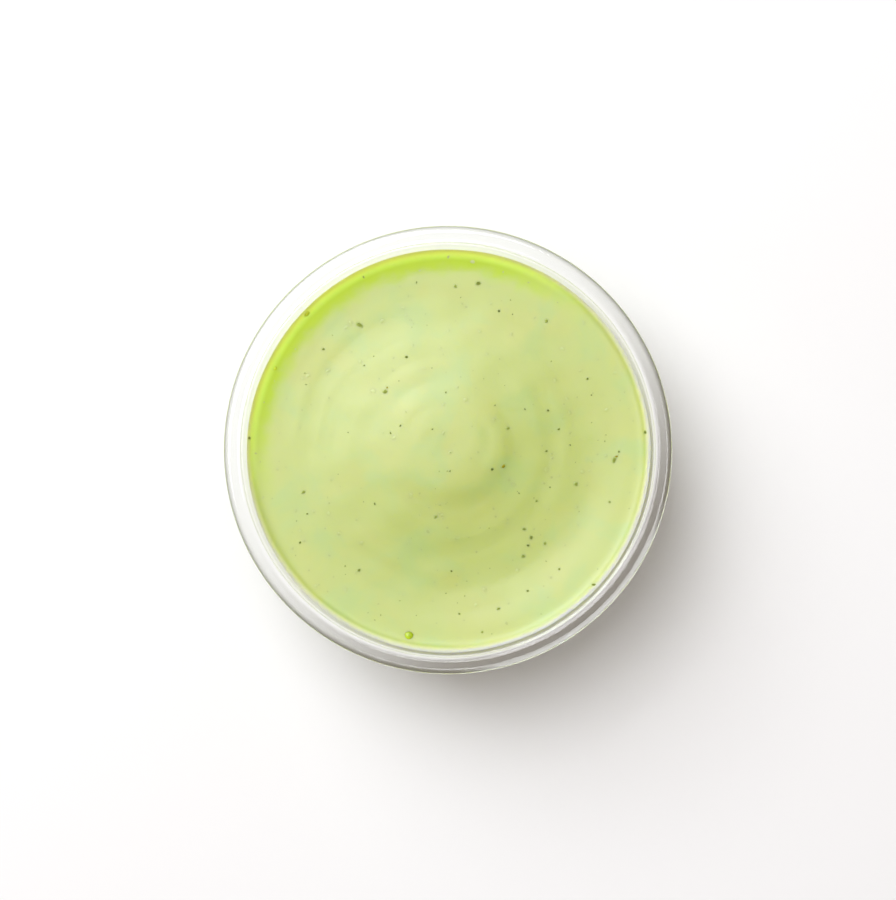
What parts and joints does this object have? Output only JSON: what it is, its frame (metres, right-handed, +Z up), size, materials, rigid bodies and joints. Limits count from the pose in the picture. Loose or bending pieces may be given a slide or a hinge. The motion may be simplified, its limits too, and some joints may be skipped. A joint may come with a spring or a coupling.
{
  "type": "bowl of green goddess dressing",
  "caption": "Small flared clear glass bowl with a thick rounded rim, filled close to the rim with pale green herb dressing that keeps a low spoon swirl",
  "frame": {"origin": "middle of the bowl's foot, on the surface that the bowl stands on", "axes": "+Z up along the bowl's axis, out of its mouth; +Y is the top edge of the picture, which looks straight down; +X is its right edge"},
  "size_m": [0.09, 0.09, 0.04],
  "materials": {
    "clear_glass": "clear, smooth and glossy",
    "green_dressing": "smooth creamy food with a soft sheen and small dark green herb flecks"
  },
  "bodies": {
    "root": {"bowl": "clear_glass", "dressing": "green_dressing"}
  },
  "joints": []
}
